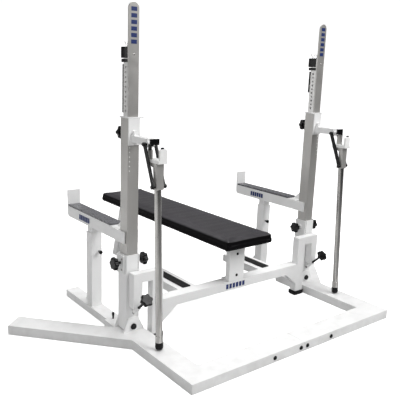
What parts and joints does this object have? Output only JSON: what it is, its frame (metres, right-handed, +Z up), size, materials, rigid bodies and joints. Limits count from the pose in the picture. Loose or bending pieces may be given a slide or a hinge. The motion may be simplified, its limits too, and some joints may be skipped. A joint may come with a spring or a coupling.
{
  "type": "olympic bench press rack",
  "caption": "Competition bench press station: white rail base with tilting-foot uprights, lever-lift bar rests, padded safety arms and a long flat bench.",
  "frame": {"origin": "middle of the footprint's bounding box at floor level", "axes": "+Z up, +X to the right across the rack seen from its open front, +Y along the bench towards its foot end"},
  "size_m": [2.044, 1.6569, 1.466],
  "materials": {
    "white_powder_coat": "satin white powder coat",
    "grey_powder_coat": "satin silver-grey paint",
    "brushed_steel": "zinc plated",
    "chrome": "bright plated",
    "black_steel": "black oxide",
    "black_plastic": "moulded black plastic",
    "black_rubber": "matte black rubber",
    "white_plastic": "white polymer liner",
    "pad_vinyl": "black upholstery vinyl",
    "pad_board": "black stained plywood"
  },
  "bodies": {
    "base": {"base_half_left": "white_powder_coat", "base_half_right": "white_powder_coat", "splice_sleeve": "brushed_steel", "splice_bolt_1": "black_steel", "splice_bolt_2": "black_steel", "splice_bolt_3": "black_steel", "splice_bolt_4": "black_steel", "cross_frame": "white_powder_coat", "leg_foot_left": "black_rubber", "leg_foot_right": "black_rubber", "step_tread_left": "black_rubber", "step_tread_right": "black_rubber", "bench_frame": "white_powder_coat", "bench_board": "pad_board", "bench_pad": "pad_vinyl", "tilt_sleeve_left": "white_powder_coat", "pivot_bolt_left": "black_steel", "upright_tube_left": "grey_powder_coat", "tilt_sleeve_right": "white_powder_coat", "pivot_bolt_right": "black_steel", "upright_tube_right": "grey_powder_coat"},
    "column_left": {"inner_column_left": "grey_powder_coat", "guard_plate_left": "grey_powder_coat", "bar_arm_left": "white_powder_coat"},
    "links_left": {"lift_links_left": "black_steel", "link_bolt_left": "black_steel"},
    "lever_left": {"lever_head_left": "grey_powder_coat", "lever_tube_left": "chrome", "lever_foot_left": "black_rubber", "bar_saddle_left": "white_plastic", "saddle_cap_left": "black_plastic"},
    "safety_post_left": {"safety_post_left": "white_powder_coat"},
    "safety_arm_left": {"safety_arm_left": "white_powder_coat", "safety_rubber_left": "black_rubber"},
    "safety_pin_left": {"safety_pin_left": "black_plastic"},
    "rail_pin_left": {"rail_pin_left": "black_plastic"},
    "clamp_knob_outer_left": {"clamp_knob_outer_left": "black_plastic"},
    "clamp_knob_inner_left": {"clamp_knob_inner_left": "black_plastic"},
    "tilt_knob_left": {"tilt_knob_left": "black_plastic"},
    "height_knob_left": {"height_knob_left": "black_plastic"},
    "column_right": {"inner_column_right": "grey_powder_coat", "guard_plate_right": "grey_powder_coat", "bar_arm_right": "white_powder_coat"},
    "links_right": {"lift_links_right": "black_steel", "link_bolt_right": "black_steel"},
    "lever_right": {"lever_head_right": "grey_powder_coat", "lever_tube_right": "chrome", "lever_foot_right": "black_rubber", "bar_saddle_right": "white_plastic", "saddle_cap_right": "black_plastic"},
    "safety_post_right": {"safety_post_right": "white_powder_coat"},
    "safety_arm_right": {"safety_arm_right": "white_powder_coat", "safety_rubber_right": "black_rubber"},
    "safety_pin_right": {"safety_pin_right": "black_plastic"},
    "rail_pin_right": {"rail_pin_right": "black_plastic"},
    "clamp_knob_outer_right": {"clamp_knob_outer_right": "black_plastic"},
    "clamp_knob_inner_right": {"clamp_knob_inner_right": "black_plastic"},
    "tilt_knob_right": {"tilt_knob_right": "black_plastic"},
    "height_knob_right": {"height_knob_right": "black_plastic"}
  },
  "joints": [
    {"name": "column_slide_left", "type": "slide", "parent": "base", "child": "column_left", "axis": [0, 0, 1], "range_m": [0, 0.4]},
    {"name": "link_swing_left", "type": "hinge", "parent": "column_left", "child": "links_left", "pos_m": [-0.577, -0.42775, 0.91], "axis": [-1, 0, 0], "range_deg": [0, 25]},
    {"name": "lever_swing_left", "type": "hinge", "parent": "links_left", "child": "lever_left", "pos_m": [-0.577, -0.49575, 0.747], "axis": [-1, 0, 0], "range_deg": [-25, 0]},
    {"name": "safety_post_slide_left", "type": "slide", "parent": "base", "child": "safety_post_left", "axis": [0, 1, 0], "range_m": [0, 0.05]},
    {"name": "safety_arm_slide_left", "type": "slide", "parent": "safety_post_left", "child": "safety_arm_left", "axis": [0, 0, 1], "range_m": [-0.025, 0.15]},
    {"name": "safety_pin_pull_left", "type": "slide", "parent": "safety_post_left", "child": "safety_pin_left", "axis": [0, -1, 0], "range_m": [-0.008, 0.006]},
    {"name": "rail_pin_pull_left", "type": "slide", "parent": "base", "child": "rail_pin_left", "axis": [0, 0, 1], "range_m": [-0.008, 0.006]},
    {"name": "clamp_knob_outer_turn_left", "type": "hinge", "parent": "base", "child": "clamp_knob_outer_left", "pos_m": [-0.6048, -0.26975, 0.367], "axis": [-1, 0, 0], "range_deg": [0, 270]},
    {"name": "clamp_knob_inner_turn_left", "type": "hinge", "parent": "base", "child": "clamp_knob_inner_left", "pos_m": [-0.5492, -0.26975, 0.367], "axis": [1, 0, 0], "range_deg": [0, 270]},
    {"name": "tilt_knob_turn_left", "type": "hinge", "parent": "base", "child": "tilt_knob_left", "pos_m": [-0.575, -0.40975, 0.223], "axis": [0, -0.7322, 0.6811], "range_deg": [0, 270]},
    {"name": "height_knob_turn_left", "type": "hinge", "parent": "base", "child": "height_knob_left", "pos_m": [-0.577, -0.21575, 0.935], "axis": [0, 1, 0], "range_deg": [0, 270]},
    {"name": "column_slide_right", "type": "slide", "parent": "base", "child": "column_right", "axis": [0, 0, 1], "range_m": [0, 0.4]},
    {"name": "link_swing_right", "type": "hinge", "parent": "column_right", "child": "links_right", "pos_m": [0.577, -0.42775, 0.91], "axis": [-1, 0, 0], "range_deg": [0, 25]},
    {"name": "lever_swing_right", "type": "hinge", "parent": "links_right", "child": "lever_right", "pos_m": [0.577, -0.49575, 0.747], "axis": [-1, 0, 0], "range_deg": [-25, 0]},
    {"name": "safety_post_slide_right", "type": "slide", "parent": "base", "child": "safety_post_right", "axis": [0, 1, 0], "range_m": [0, 0.05]},
    {"name": "safety_arm_slide_right", "type": "slide", "parent": "safety_post_right", "child": "safety_arm_right", "axis": [0, 0, 1], "range_m": [-0.025, 0.15]},
    {"name": "safety_pin_pull_right", "type": "slide", "parent": "safety_post_right", "child": "safety_pin_right", "axis": [0, -1, 0], "range_m": [-0.008, 0.006]},
    {"name": "rail_pin_pull_right", "type": "slide", "parent": "base", "child": "rail_pin_right", "axis": [0, 0, 1], "range_m": [-0.008, 0.006]},
    {"name": "clamp_knob_outer_turn_right", "type": "hinge", "parent": "base", "child": "clamp_knob_outer_right", "pos_m": [0.6048, -0.26975, 0.367], "axis": [1, 0, 0], "range_deg": [0, 270]},
    {"name": "clamp_knob_inner_turn_right", "type": "hinge", "parent": "base", "child": "clamp_knob_inner_right", "pos_m": [0.5492, -0.26975, 0.367], "axis": [-1, 0, 0], "range_deg": [0, 270]},
    {"name": "tilt_knob_turn_right", "type": "hinge", "parent": "base", "child": "tilt_knob_right", "pos_m": [0.575, -0.40975, 0.223], "axis": [0, -0.7322, 0.6811], "range_deg": [0, 270]},
    {"name": "height_knob_turn_right", "type": "hinge", "parent": "base", "child": "height_knob_right", "pos_m": [0.577, -0.21575, 0.935], "axis": [0, 1, 0], "range_deg": [0, 270]}
  ],
  "couplings": [
    {"joint": "lever_swing_left", "follows": "link_swing_left", "ratio": -1},
    {"joint": "lever_swing_right", "follows": "link_swing_right", "ratio": -1}
  ]
}
